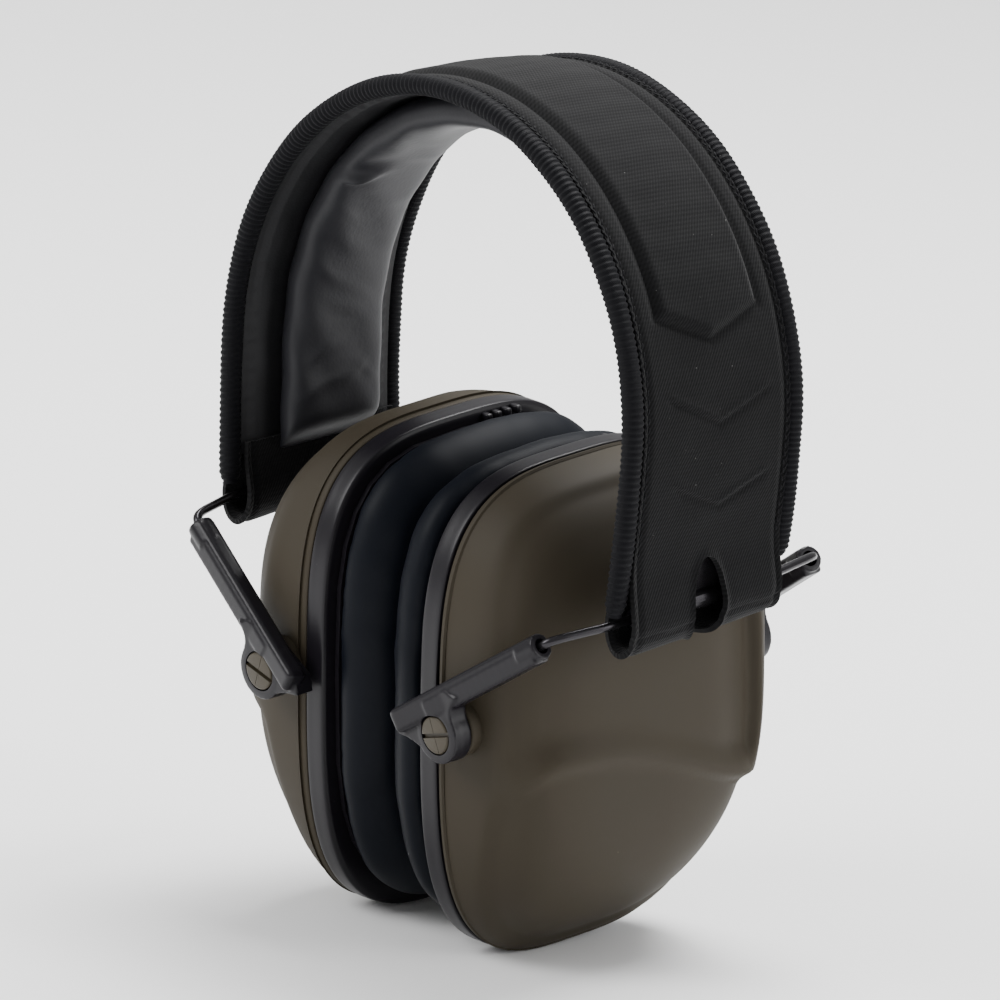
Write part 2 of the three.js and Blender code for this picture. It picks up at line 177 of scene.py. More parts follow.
def ownCopy(piece, name, scale):
    onlySelect(piece)
    bpy.ops.object.duplicate()
    copy = named(name)
    setCoordinates(copy, coordinates(copy) * scale)
    if np.prod(scale) < 0:
        inEditMode(copy, bpy.ops.mesh.flip_normals)
    return copy


def finishPiece(piece, body, material, nodes=()):
    piece.data.materials.clear()
    piece.data.materials.append(material)
    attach(piece, body)
    if nodes:
        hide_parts(*nodes)


def softStep(low, high, value):
    share = np.clip((np.asarray(value, float) - low) / (high - low), 0, 1)
    return share * share * (3 - 2 * share)


def hump(distance, width):
    return np.exp(-(np.asarray(distance) / width) ** 2)


def smoothRow(rows, share):
    # Catmull-Rom through the rows of a table, share from 0 to 1
    rows = np.asarray(rows, float)
    place = np.clip(np.asarray(share, float), 0, 1) * (len(rows) - 1)
    low = np.minimum(place.astype(int), len(rows) - 2)
    t = (place - low)[..., None]
    before = rows[np.maximum(low - 1, 0)]
    here, there = rows[low], rows[low + 1]
    after = rows[np.minimum(low + 2, len(rows) - 1)]
    return 0.5 * (2 * here + (there - before) * t + (2 * before - 5 * here + 4 * there - after) * t ** 2
                  + (3 * here - before - 3 * there + after) * t ** 3)


# ---- the lower frame: everything below the band leans with the wires ----

lower = {"leanDegrees": 6.9, "originY": 1.3, "originZ": -89.0, "hingeX": 60.3, "hingeZ": 1.1}
leanAngle = math.radians(lower["leanDegrees"])


def toRow(points):
    points = np.asarray(points, float)
    x, y, z = points[..., 0], points[..., 1], points[..., 2]
    c, s = math.cos(leanAngle), math.sin(leanAngle)
    return np.stack([x, lower["originY"] + y * c - z * s, lower["originZ"] + y * s + z * c], -1) * mm


# ---- materials ----

materials = {}


def newMaterial(name, **constants):
    material = bpy.data.materials.new(name)
    material.use_nodes = True
    shader = material.node_tree.nodes["Principled BSDF"]
    for socket, value in constants.items():
        shader.inputs[socket.replace("_", " ")].default_value = value
    materials[name] = material
    return material, material.node_tree, shader


def addNode(tree, kind, **settings):
    node = tree.nodes.new(kind)
    for key, value in settings.items():
        if key in node.inputs:
            node.inputs[key].default_value = value
        else:
            setattr(node, key, value)
    return node


def link(tree, start, end):
    tree.links.new(start, end)


def newGroup(name, inputs, outputs):
    group = bpy.data.node_groups.new(name, 'ShaderNodeTree')
    for label, kind, value in inputs:
        socket = group.interface.new_socket(label, in_out='INPUT', socket_type=kind)
        if value is not None:
            socket.default_value = value
    for label, kind in outputs:
        group.interface.new_socket(label, in_out='OUTPUT', socket_type=kind)
    return group, group.nodes.new('NodeGroupInput'), group.nodes.new('NodeGroupOutput')


def maths(tree, operation, first, second=None):
    node = tree.nodes.new('ShaderNodeMath')
    node.operation = operation
    for k, value in enumerate((first, second)):
        if value is None:
            continue
        if isinstance(value, (int, float)):
            node.inputs[k].default_value = value
        else:
            tree.links.new(value, node.inputs[k])
    return node.outputs[0]


floatSocket, vectorSocket = 'NodeSocketFloat', 'NodeSocketVector'


def makeWeaveGroup():
    # diagonal knit: two crossed waves on the flat map, with a height and a shade
    group, start, end = newGroup("knitWeave", [
        ("Vector", vectorSocket, None), ("Pitch", floatSocket, 0.0006), ("Slant", floatSocket, 0.6),
    ], [("Height", floatSocket), ("Shade", floatSocket)])
    split = group.nodes.new('ShaderNodeSeparateXYZ')
    link(group, start.outputs["Vector"], split.inputs[0])
    turn = maths(group, 'DIVIDE', 2 * math.pi, start.outputs["Pitch"])
    slope = maths(group, 'MULTIPLY', split.outputs[0], start.outputs["Slant"])
    slanted = maths(group, 'ADD', split.outputs[1], slope)
    across = maths(group, 'SINE', maths(group, 'MULTIPLY', slanted, turn))
    along = maths(group, 'SINE', maths(group, 'MULTIPLY', split.outputs[0], maths(group, 'MULTIPLY', turn, 0.8)))
    height = maths(group, 'ADD', maths(group, 'MULTIPLY', across, 0.32), maths(group, 'MULTIPLY', along, 0.18))
    link(group, maths(group, 'ADD', height, 0.5), end.inputs["Height"])
    link(group, maths(group, 'ADD', maths(group, 'MULTIPLY', height, 0.7), 0.5), end.inputs["Shade"])
    return group


def makeGrainGroup():
    # fine moulded or leathery grain: cells over noise
    group, start, end = newGroup("fineGrain", [
        ("Vector", vectorSocket, None), ("Cell Scale", floatSocket, 900.0), ("Noise Scale", floatSocket, 300.0),
        ("Cell Share", floatSocket, 0.5),
    ], [("Height", floatSocket), ("Mottle", floatSocket)])
    cells = addNode(group, 'ShaderNodeTexVoronoi', feature='F1')
    noise = addNode(group, 'ShaderNodeTexNoise', Detail=4.0)
    slow = addNode(group, 'ShaderNodeTexNoise', Detail=2.0, Scale=24.0)
    for node in (cells, noise, slow):
        link(group, start.outputs["Vector"], node.inputs["Vector"])
    link(group, start.outputs["Cell Scale"], cells.inputs["Scale"])
    link(group, start.outputs["Noise Scale"], noise.inputs["Scale"])
    cellPart = maths(group, 'MULTIPLY', cells.outputs["Distance"], start.outputs["Cell Share"])
    link(group, maths(group, 'ADD', cellPart, noise.outputs[0]), end.inputs["Height"])
    link(group, slow.outputs[0], end.inputs["Mottle"])
    return group


def makeLintGroup():
    # scattered bright specks of lint or dust, some of them short hairs
    group, start, end = newGroup("lintSpecks", [
        ("Vector", vectorSocket, None), ("Scale", floatSocket, 260.0), ("Size", floatSocket, 0.09),
        ("Share", floatSocket, 0.35),
    ], [("Mask", floatSocket)])
    stretch = addNode(group, 'ShaderNodeMapping')
    stretch.inputs["Scale"].default_value = (1, 0.72, 0.86)
    cells = addNode(group, 'ShaderNodeTexVoronoi', feature='F1')
    link(group, start.outputs["Vector"], stretch.inputs["Vector"])
    link(group, stretch.outputs[0], cells.inputs["Vector"])
    link(group, start.outputs["Scale"], cells.inputs["Scale"])
    near = maths(group, 'LESS_THAN', cells.outputs["Distance"], start.outputs["Size"])
    chosen = addNode(group, 'ShaderNodeSeparateColor')
    link(group, cells.outputs["Color"], chosen.inputs[0])
    kept = maths(group, 'LESS_THAN', chosen.outputs[0], start.outputs["Share"])
    strength = maths(group, 'MULTIPLY', maths(group, 'MULTIPLY', near, kept), chosen.outputs[1])
    link(group, strength, end.inputs["Mask"])
    return group


weaveGroup, grainGroup, lintGroup = makeWeaveGroup(), makeGrainGroup(), makeLintGroup()


def useGroup(tree, group, vector, **values):
    node = tree.nodes.new('ShaderNodeGroup')
    node.node_tree = group
    link(tree, vector, node.inputs["Vector"])
    for key, value in values.items():
        node.inputs[key.replace("_", " ")].default_value = value
    return node


def mixColours(tree, share, first, second):
    node = addNode(tree, 'ShaderNodeMix', data_type='RGBA')
    for socket, value in ((node.inputs[0], share), (node.inputs[6], first), (node.inputs[7], second)):
        if isinstance(value, tuple):
            socket.default_value = (*value, 1)
        elif isinstance(value, float):
            socket.default_value = value
        else:
            link(tree, value, socket)
    return node.outputs[2]


def addBump(tree, shader, height, strength, distance, below=None):
    bump = addNode(tree, 'ShaderNodeBump', Strength=strength, Distance=distance)
    link(tree, height, bump.inputs["Height"])
    if below is not None:
        link(tree, below, bump.inputs["Normal"])
    link(tree, bump.outputs[0], shader.inputs["Normal"])
    return bump.outputs[0]


def ranged(tree, value, low, high):
    node = addNode(tree, 'ShaderNodeMapRange')
    node.inputs["To Min"].default_value = low
    node.inputs["To Max"].default_value = high
    link(tree, value, node.inputs["Value"])
    return node.outputs[0]


# grain cells and noise and lint specks in a metre, bump heights in metres, and how far the roughness spreads
surfaces = {
    "cloth": {"cells": 700.0, "noise": 420.0, "lint": 560.0, "lintSize": 0.055, "lintColour": (0.12, 0.12, 0.115),
              "height": 0.0001, "weaveHeight": 0.00018},
    "leather": {"noiseShare": 0.35, "cellShare": 0.8, "lint": 160.0, "lintSize": 0.035, "height": 0.00012,
                "spread": (-0.06, 0.08)},
    "plastic": {"noiseShare": 7 / 13, "cellShare": 0.3, "lint": 260.0, "lintSize": 0.03, "height": 0.00006,
                "spread": (-0.05, 0.07)},
    "metal": {"noiseShare": 0.5, "cellShare": 0.2, "height": 0.00004, "spread": (-0.05, 0.1)}}


def clothMaterial(name, dark, light, pitch, bump, lintShare, roughness=0.9, sheen=0.06):
    kind = surfaces["cloth"]
    material, tree, shader = newMaterial(
        name, Roughness=roughness, Sheen_Weight=sheen, Sheen_Roughness=0.5, Specular_IOR_Level=0.09)
    flat = addNode(tree, 'ShaderNodeUVMap', uv_map="flatCloth").outputs[0]
    place = addNode(tree, 'ShaderNodeTexCoord').outputs["Object"]
    weave = useGroup(tree, weaveGroup, flat, Pitch=pitch)
    grain = useGroup(tree, grainGroup, place,
                     Cell_Scale=kind["cells"], Noise_Scale=kind["noise"])
    lint = useGroup(tree, lintGroup, place,
                    Scale=kind["lint"], Size=kind["lintSize"], Share=lintShare)
    colour = mixColours(tree, weave.outputs["Shade"], dark, light)
    wear = ranged(tree, grain.outputs["Mottle"], 0.0, 0.35)
    worn = mixColours(tree, wear, colour, tuple(1.35 * c for c in light))
    specked = mixColours(tree, lint.outputs[0], worn, kind["lintColour"])
    link(tree, specked, shader.inputs["Base Color"])
    fuzz = addBump(tree, shader, grain.outputs["Height"], 0.35, kind["height"])
    addBump(tree, shader, weave.outputs["Height"], bump, kind["weaveHeight"], fuzz)
    return material


def plainMaterial(name, kind, dark, light, roughness, cells, bump, lintColour=None, lintShare=0.0, **constants):
    kind = surfaces[kind]
    material, tree, shader = newMaterial(name, Roughness=roughness, **constants)
    place = addNode(tree, 'ShaderNodeTexCoord').outputs["Object"]
    grain = useGroup(tree, grainGroup, place, Cell_Scale=cells, Noise_Scale=cells * kind["noiseShare"],
                     Cell_Share=kind["cellShare"])
    colour = mixColours(tree, grain.outputs["Mottle"], dark, light)
    if lintColour:
        lint = useGroup(tree, lintGroup, place, Scale=kind["lint"], Size=kind["lintSize"], Share=lintShare)
        colour = mixColours(tree, lint.outputs[0], colour, lintColour)
    link(tree, colour, shader.inputs["Base Color"])
    smooth, rough = kind["spread"]
    spread = ranged(tree, grain.outputs["Mottle"], roughness + smooth, roughness + rough)
    link(tree, spread, shader.inputs["Roughness"])
    addBump(tree, shader, grain.outputs["Height"], bump, kind["height"])
    return material


def leatherMaterial(name, dark, light, roughness, cells, bump, specular=0.4):
    return plainMaterial(name, "leather", dark, light, roughness, cells, bump, (0.2, 0.2, 0.2), 0.18,
                         Specular_IOR_Level=specular)


def plasticMaterial(name, dark, light, roughness, bump, lintColour, lintShare, specular=0.2):
    return plainMaterial(name, "plastic", dark, light, roughness, 2600.0, bump, lintColour, lintShare,
                         Specular_IOR_Level=specular)


# after the name: dark colour, light colour, then the numbers in the order of the function
coverCloth = clothMaterial(
    "coverCloth", (0.0009, 0.0009, 0.0010), (0.0062, 0.0062, 0.0067), 0.00078, 0.6, 0.3)
bindingThread = clothMaterial(
    "bindingThread", (0.0012, 0.0012, 0.0016), (0.0036, 0.0036, 0.0050), 0.0004, 0.3, 0.05, 0.62, 0.015)
liningCloth = leatherMaterial(
    "liningCloth", (0.004, 0.004, 0.005), (0.008, 0.008, 0.0095), 0.6, 1500.0, 0.3)
padLeather = leatherMaterial(
    "padLeather", (0.0062, 0.0062, 0.0082), (0.0105, 0.0105, 0.0138), 0.52, 1300.0, 0.2, 0.3)
cushionSkin = leatherMaterial(
    "cushionSkin", (0.0015, 0.0023, 0.0046), (0.0024, 0.0035, 0.0064), 0.5, 3000.0, 0.06, 0.09)
screenFoam = leatherMaterial(
    "screenFoam", (0.012, 0.012, 0.013), (0.030, 0.030, 0.032), 0.92, 1100.0, 0.9)
oliveShell = plasticMaterial(
    "oliveShell", (0.0250, 0.0195, 0.0116), (0.0308, 0.0242, 0.0146), 0.62, 0.2, (0.16, 0.15, 0.11), 0.25)
greyPlastic = plasticMaterial(
    "greyPlastic", (0.0052, 0.0044, 0.0062), (0.0078, 0.0068, 0.0090), 0.32, 0.15, (0.04, 0.04, 0.04), 0.15)
screwOlive = plasticMaterial(
    "screwOlive", (0.030, 0.024, 0.014), (0.040, 0.032, 0.019), 0.42, 0.25, (0.2, 0.19, 0.15), 0.2, 0.25)
blackSteel = plainMaterial(
    "blackSteel", "metal", (0.018, 0.017, 0.019), (0.034, 0.032, 0.036), 0.22, 1800.0, 0.1, Metallic=0.8)
brassInsert = plainMaterial(
    "brassInsert", "metal", (0.42, 0.28, 0.11), (0.52, 0.36, 0.16), 0.35, 1800.0, 0.1, Metallic=1.0)
print("materials made:", len(materials))


# ---- camera, floor and lights ----

view = {"right": (0.6625, 0.7465, 0.0617), "up": (-0.2261, 0.1209, 0.9666), "back": (0.7141, -0.6543, 0.2489),
        "distanceM": 2.5, "lens": 427.0, "sensor": 36, "aimRight": -0.25, "aimUp": 1.37, "aimDrop": 82.0}
stage = {"floorM": 6, "floorGapM": 0.0006, "floorTones": ((0.88, 0.88, 0.88), (0.9, 0.9, 0.9)), "room": 0.62,
         "aimM": (0, 0, -0.08)}
# name, place in metres, size in metres and power in watts
lights = [("keyLight", (-0.55, -0.95, 0.70), (0.7, 0.8), 17), ("topLight", (-0.15, 0.45, 1.05), (1.0, 0.6), 38),
          ("sideLight", (1.15, 0.55, 0.30), (0.5, 0.9), 9)]


def setCamera():
    right, up, back = (Vector(view[key]).normalized() for key in ("right", "up", "back"))
    aim = (right * view["aimRight"] + up * view["aimUp"] - Vector((0, 0, view["aimDrop"]))) * mm
    bpy.ops.object.camera_add()
    camera = bpy.context.object
    camera.data.lens = view["lens"]
    camera.data.sensor_width = view["sensor"]
    turn = Matrix((right, up, back)).transposed().to_4x4()
    camera.matrix_world = Matrix.Translation(aim + back * view["distanceM"]) @ turn
    bpy.context.scene.camera = camera


def addLight(name, place, aim, sizeM, power):
    bpy.ops.object.light_add(type='AREA', location=place)
    light = bpy.context.object
    light.name = name
    light.data.shape = 'RECTANGLE'
    light.data.size, light.data.size_y = sizeM
    light.data.energy = power
    away = Vector(place) - Vector(aim)
    light.rotation_euler = away.to_track_quat('Z', 'Y').to_euler()


def setStage():
    bpy.ops.mesh.primitive_plane_add(size=stage["floorM"], location=(0, 0, cadBox[0][2] - stage["floorGapM"]))
    floor = named("paleFloor")
    material, tree, shader = newMaterial("paleFloor", Roughness=0.8)
    place = addNode(tree, 'ShaderNodeTexCoord').outputs["Object"]
    noise = addNode(tree, 'ShaderNodeTexNoise', Scale=3.0)
    link(tree, place, noise.inputs["Vector"])
    link(tree, mixColours(tree, noise.outputs[0], *stage["floorTones"]), shader.inputs["Base Color"])
    floor.data.materials.append(material)
    world = bpy.data.worlds.new("paleRoom")
    world.use_nodes = True
    world.node_tree.nodes["Background"].inputs["Color"].default_value = (1, 1, 1, 1)
    world.node_tree.nodes["Background"].inputs["Strength"].default_value = stage["room"]
    bpy.context.scene.world = world
    for name, place, sizeM, power in lights:
        addLight(name, place, stage["aimM"], sizeM, power)


setCamera()
setStage()
print("camera and stage set")


# ---- headband ----

band = {"halfSpan": 63.0, "rise": 63.1, "top": 10.0, "archPower": 1.97, "archShare": 0.73,
        "legEnd": -89.5, "legLean": 0.002, "bindingAcross": 22.4, "bindingRadius": 2.35}
springLine = band["top"] - band["rise"]


def makeBandTable():
    # the middle line of the band in XZ at y = 0: length from the crown, place and outward normal
    share = np.linspace(0, 1, 1601)
    angle = np.minimum(share / band["archShare"], 1) * math.pi / 2
    x = band["halfSpan"] * np.sin(angle) ** (2 / band["archPower"])
    z = springLine + band["rise"] * np.maximum(np.cos(angle), 0) ** (2 / band["archPower"])
    leg = np.clip((share - band["archShare"]) / (1 - band["archShare"]), 0, 1)
    onLeg = share > band["archShare"]
    z[onLeg] = springLine + leg[onLeg] * (band["legEnd"] - springLine)
    x[onLeg] = band["halfSpan"] - band["legLean"] * (springLine - z[onLeg]) ** 2
    return x, z


def lineTable(x, z):
    length = np.concatenate([[0], np.cumsum(np.hypot(np.diff(x), np.diff(z)))])
    alongX, alongZ = np.gradient(x, length), np.gradient(z, length)
    size = np.hypot(alongX, alongZ)
    return {"length": length, "x": x, "z": z, "outX": -alongZ / size, "outZ": alongX / size}


bandTable = lineTable(*makeBandTable())
bandLength = bandTable["length"][-1]


def onLine(table, s, y, out):
    # points at length s along a line (left is negative), y across and out from it, in metres
    s, y, out = (np.asarray(value, float) for value in (s, y, out))
    side = np.where(s < 0, -1.0, 1.0)
    x, z, outX, outZ = (np.interp(np.abs(s), table["length"], table[key]) for key in ("x", "z", "outX", "outZ"))
    over = np.abs(s) - table["length"][-1]
    x = x + np.where(over > 0, over * -outZ, 0)
    z = z + outZ * out
    z = z + np.where(over > 0, -over * outX, 0)
    slant = np.clip((springLine - z) / (springLine - band["legEnd"]), 0, None)
    return np.stack([side * (x + outX * out), y, z + slant * y * math.tan(leanAngle)], -1) * mm


def layOnBand(piece, s, flatAcross, y, out):
    keepFlatMap(piece, np.stack([s, flatAcross], -1))
    setCoordinates(piece, onLine(bandTable, s, y, out))


# the cover's own line: the band's outer face, then down round the hem and up to the lining
cover = {"halfWidth": 20.4, "outer": 1.8, "leaveBand": 114.0, "cloth": 1.15, "columns": 560, "rows": 66,
         "panelHalfWidth": 13.6, "panelEnd": 77.2, "panelPoint": 0.4, "panelRaise": 1.25, "panelEdge": 1.5,
         "edgeGroove": 19.0, "creases": ((94.0, 0.6, 14.5), (111.6, 1.8, 13.5)), "creaseSlope": 0.42,
         "holeAt": (133.8, 0.2), "holeHalf": (10.6, 4.4), "hemCrease": 136.5}
hemLine = [(64.05, -75.6), (64.35, -80.0), (65.25, -84.5), (65.9, -88.5), (65.35, -91.9), (63.6, -94.1),
           (61.1, -94.9), (58.6, -94.0), (56.8, -91.4), (56.4, -87.9), (57.2, -84.5), (58.1, -81.0), (58.4, -77.5)]


def makeCoverTable():
    keep = bandTable["length"] < cover["leaveBand"]
    x = bandTable["x"][keep] + bandTable["outX"][keep] * cover["outer"]
    z = bandTable["z"][keep] + bandTable["outZ"][keep] * cover["outer"]
    guide = np.array([(x[-40], z[-40]), (x[-1], z[-1])] + hemLine)
    hem = smoothRow(guide, np.linspace(1 / (len(guide) - 1), 1, 400))
    table = lineTable(np.concatenate([x, hem[1:, 0]]), np.concatenate([z, hem[1:, 1]]))
    # lengths on the arch are counted on the middle line, so that both lines agree
    lengths = table["length"].copy()
    lengths[:keep.sum()] = bandTable["length"][keep]
    lengths[keep.sum():] += bandTable["length"][keep][-1] - table["length"][keep.sum() - 1]
    table["length"] = lengths
    return table


coverTable = makeCoverTable()


def coverHeight(s, y):
    s = np.abs(s)
    endAt = cover["panelEnd"] - cover["panelPoint"] * np.abs(y + 0.5)
    inside = np.minimum(cover["panelHalfWidth"] - np.abs(y), (endAt - s) * 0.92)
    edge = cover["panelEdge"]
    height = cover["panelRaise"] * softStep(-edge * 0.5, edge * 1.1, inside)
    height = height - 0.55 * hump(inside + edge * 0.55, 0.75)
    height = height + 0.35 * softStep(0, 12, inside)
    height = height - 0.5 * hump(np.abs(y) - cover["edgeGroove"], 0.55)
    for at, middle, halfWidth in cover["creases"]:
        across = np.abs(y - middle)
        line = at - cover["creaseSlope"] * across
        fade = softStep(halfWidth + 1, halfWidth - 2.5, across)
        height = height + fade * (0.3 * hump(s - line, 0.6) - 0.36 * hump(s - line - 1.25, 0.75))
    height = height - 0.28 * hump(s - cover["hemCrease"] - 0.35 * np.sin(y * 0.5), 0.6)
    ripple = 0.12 * np.sin(s * 0.19 + y * 0.11) * np.sin(y * 0.16 + 1.0)
    ripple = ripple + 0.05 * np.sin(s * 0.9 + 0.7 * np.sin(y * 0.3))
    return height + ripple * softStep(16, 8, np.abs(y))


def makeCover():
    piece = flatGrid("coverCloth", cover["columns"], cover["rows"])
    end = coverTable["length"][-1]
    flat = coordinates(piece)
    flat[:, 0] = (flat[:, 0] * 2 - 1) * end
    flat[:, 1] = (flat[:, 1] * 2 - 1) * cover["halfWidth"]
    # the oval for a cable, cut through the outer layer of each hem
    at, middle = cover["holeAt"]
    halfLong, halfWide = cover["holeHalf"]
    away = np.hypot((np.abs(flat[:, 0]) - at) / halfLong, (flat[:, 1] - middle) / halfWide)
    inside = away < 1
    setCoordinates(piece, flat)
    inEditMode(piece, lambda: bpy.ops.mesh.select_all(action='DESELECT'))
    edges = set()
    for face in piece.data.polygons:
        face.select = bool(inside[list(face.vertices)].any())
        if face.select:
            edges.update(v for v in face.vertices if not inside[v])
    ringed = np.array(sorted(edges))
    flat[ringed, 0] = np.sign(flat[ringed, 0]) * (at + (np.abs(flat[ringed, 0]) - at) / away[ringed])
    flat[ringed, 1] = middle + (flat[ringed, 1] - middle) / away[ringed]
    setCoordinates(piece, flat)
    bpy.ops.object.mode_set(mode='EDIT')
    bpy.ops.mesh.select_mode(type='FACE')
    bpy.ops.mesh.delete(type='FACE')
    bpy.ops.mesh.select_mode(type='VERT')
    bpy.ops.object.mode_set(mode='OBJECT')
    flat = coordinates(piece)
    keepFlatMap(piece, flat)
    away = np.hypot((np.abs(flat[:, 0]) - at) / halfLong, (flat[:, 1] - middle) / halfWide)
    lip = 0.5 * hump(away - 1, 0.12)
    shaped = onLine(coverTable, flat[:, 0], flat[:, 1], coverHeight(flat[:, 0], flat[:, 1]) + lip)
    setCoordinates(piece, shaped)
    faceOutward(piece)
    faceAlong(piece, 2)
    useModifier(piece, 'SOLIDIFY', thickness=cover["cloth"] * mm, offset=-1)
    smoothShade(piece, 50)
    finishPiece(piece, "headband", coverCloth, ["band_cover"])


makeCover()
print("cover made")

roll = {"pitch": 1.26, "ribDepth": 0.14, "perRib": 6, "around": 16, "frontEnd": 0.972, "rearEnd": 0.95}


def makeBinding(name, side, share, node):
    # a padded edge wound with ribbed thread, swept along the edge of the band
    end = bandLength * share
    ribs = int(2 * end / roll["pitch"])
    piece = flatGrid(name, ribs * roll["perRib"], roll["around"])
    flat = coordinates(piece)
    s = (flat[:, 0] * 2 - 1) * end
    angle = flat[:, 1] * 2 * math.pi
    wander = 0.35 * np.sin(s * 0.11) + 0.2 * np.sin(s * 0.37 + 1)
    phase = 2 * math.pi * (s / roll["pitch"]) + wander + 0.5 * np.sin(angle)
    rib = 1 - np.abs(np.sin(phase / 2)) ** 1.6
    taper = 1 - 0.28 * softStep(end - 2.5, end, np.abs(s))
    radius = band["bindingRadius"] * taper - roll["ribDepth"] * 2 * rib + 0.06 * np.sin(s * 0.23)
    y = side * band["bindingAcross"] + radius * 1.02 * np.cos(angle)
    out = 0.25 + radius * np.sin(angle)
    layOnBand(piece, s, angle * band["bindingRadius"], y, out)
    closeSeam(piece)
    capEnds(piece)
    smoothShade(piece, 60)
    finishPiece(piece, "headband", bindingThread, [node])


makeBinding("bindingFront", -1, roll["frontEnd"], "band_binding_front")
makeBinding("bindingRear", 1, roll["rearEnd"], "band_binding_rear")
print("bindings made")

stitch = {"pitch": 1.9, "long": 1.35, "wide": 0.5, "high": 0.34, "across": (20.15, 19.35), "end": 127.0,
          "above": 0.05, "jitter": 0.08}


def makeStitchRow(name, rows):
    # one short thread modelled once, then copied along each row
    piece = newPiece(name, "uv_sphere", segments=8, ring_count=5, radius=1)
    one = coordinates(piece) * np.array([stitch["long"] / 2, stitch["wide"] / 2, stitch["high"] / 2])
    setCoordinates(piece, one)
    end = stitch["end"]
    count = int(2 * end / stitch["pitch"])
    useModifier(piece, 'ARRAY', count=count, use_relative_offset=False, use_constant_offset=True,
                constant_offset_displace=(stitch["pitch"], 0, 0))
    single = coordinates(piece) - (end, 0, 0)
    copies = []
    for k, (y, shift) in enumerate(rows):
        row = piece if k == len(rows) - 1 else ownCopy(piece, name + str(k), (1, 1, 1))
        place = single.copy()
        index = np.round((place[:, 0] + end) / stitch["pitch"])
        slant = 0.35 * np.sign(y) * (1 if k % 2 else -1)
        y0 = y + stitch["jitter"] * np.sin(index * 2.4 + k) + slant * (place[:, 0] - index * stitch["pitch"] + end)
        place[:, 0] += shift
        across = place[:, 1] + y0
        layOnBand(row, place[:, 0], across, across, place[:, 2] + cover["outer"] + stitch["above"])
        copies.append(row)
    piece = joinPieces(name, copies)
    smoothShade(piece)
    finishPiece(piece, "headband", bindingThread)


outerRow, innerRow = stitch["across"]
for sideName, sign in (("Front", -1), ("Rear", 1)):
    makeStitchRow("edgeStitch" + sideName, [(sign * outerRow, 0.0), (sign * innerRow, stitch["pitch"] / 2)])
print("stitches made")

lining = {"halfWidth": 20.6, "out": -1.25, "thick": 0.9, "end": 126.0, "columns": 300, "rows": 44}


def makeLining():
    piece = flatGrid("liningCloth", lining["columns"], lining["rows"])
    flat = coordinates(piece)
    s = (flat[:, 0] * 2 - 1) * lining["end"]
    y = (flat[:, 1] * 2 - 1) * lining["halfWidth"]
    edge = lining["halfWidth"] - np.abs(y)
    ragged = 2.2 + 0.25 * np.sin(s * 2.1) + 0.2 * np.sin(s * 5.3 + 1)
    out = lining["out"] - 0.85 * softStep(ragged - 0.3, ragged + 0.3, edge)
    out = out - 0.12 * np.sin(s * 0.45) * softStep(2, 6, edge) - 0.25 * hump(edge - 6.5, 2.0)
    layOnBand(piece, s, y, y, out)
    faceOutward(piece)
    faceAlong(piece, 2, -1)
    useModifier(piece, 'SOLIDIFY', thickness=lining["thick"] * mm, offset=-1)
    smoothShade(piece, 55)
    finishPiece(piece, "headband", liningCloth, ["band_lining"])


makeLining()

pad = {"halfWidth": 12.7, "high": -2.3, "deep": 7.9, "end": 126.5, "columns": 460, "rows": 72}
# folds in the pad's skin: length along, across, length of the fold, slope, width and depth
padFolds = [(62, 2, 9, 0.5, 1.5, 0.55), (70, -3, 8, 0.62, 1.3, 0.5), (79, 1, 10, 0.5, 1.6, 0.6),
            (88, -2, 9, 0.65, 1.4, 0.65), (97, 3, 8, 0.5, 1.5, 0.5), (103, -4, 6, -0.7, 1.0, 0.6),
            (108, 4, 6, 0.9, 1.1, 0.7), (112, -2, 9, -0.35, 1.2, 0.7), (46, 3, 7, 0.4, 1.3, 0.4),
            (35, -4, 6, 0.55, 1.2, 0.35), (22, 4, 7, 0.45, 1.4, 0.35), (8, -3, 6, 0.6, 1.3, 0.3)]


def padRelief(s, y):
    relief = 0.22 * np.sin(s * 0.33 + 0.5 * y) * np.sin(s * 0.083 + 1)
    for k, (at, middle, halfLong, slope, width, deep) in enumerate(padFolds):
        for side in (-1, 1):
            along = np.abs(y - middle) / halfLong
            line = side * at + side * slope * (y - middle) + (0.8 if side > 0 else -0.6) * np.sin(0.4 * y + k)
            relief = relief - 0.3 * deep * hump(s - line, 1.35 * width) * softStep(1.25, 0.55, along)
            relief = relief + 0.14 * deep * hump(s - line - 2.8 * side, 2.1 * width) * softStep(1.3, 0.6, along)
    # a pinch near each shoulder, at the front edge
    for at in (-53.5, 50.0):
        relief = relief - 1.7 * hump(s - at - 0.5 * (y + 9), 1.5) * hump(y + 10.5, 4.0)
        relief = relief + 0.7 * hump(s - at - 5 - 0.5 * (y + 9), 3.5) * hump(y + 9.5, 4.5)
    return relief


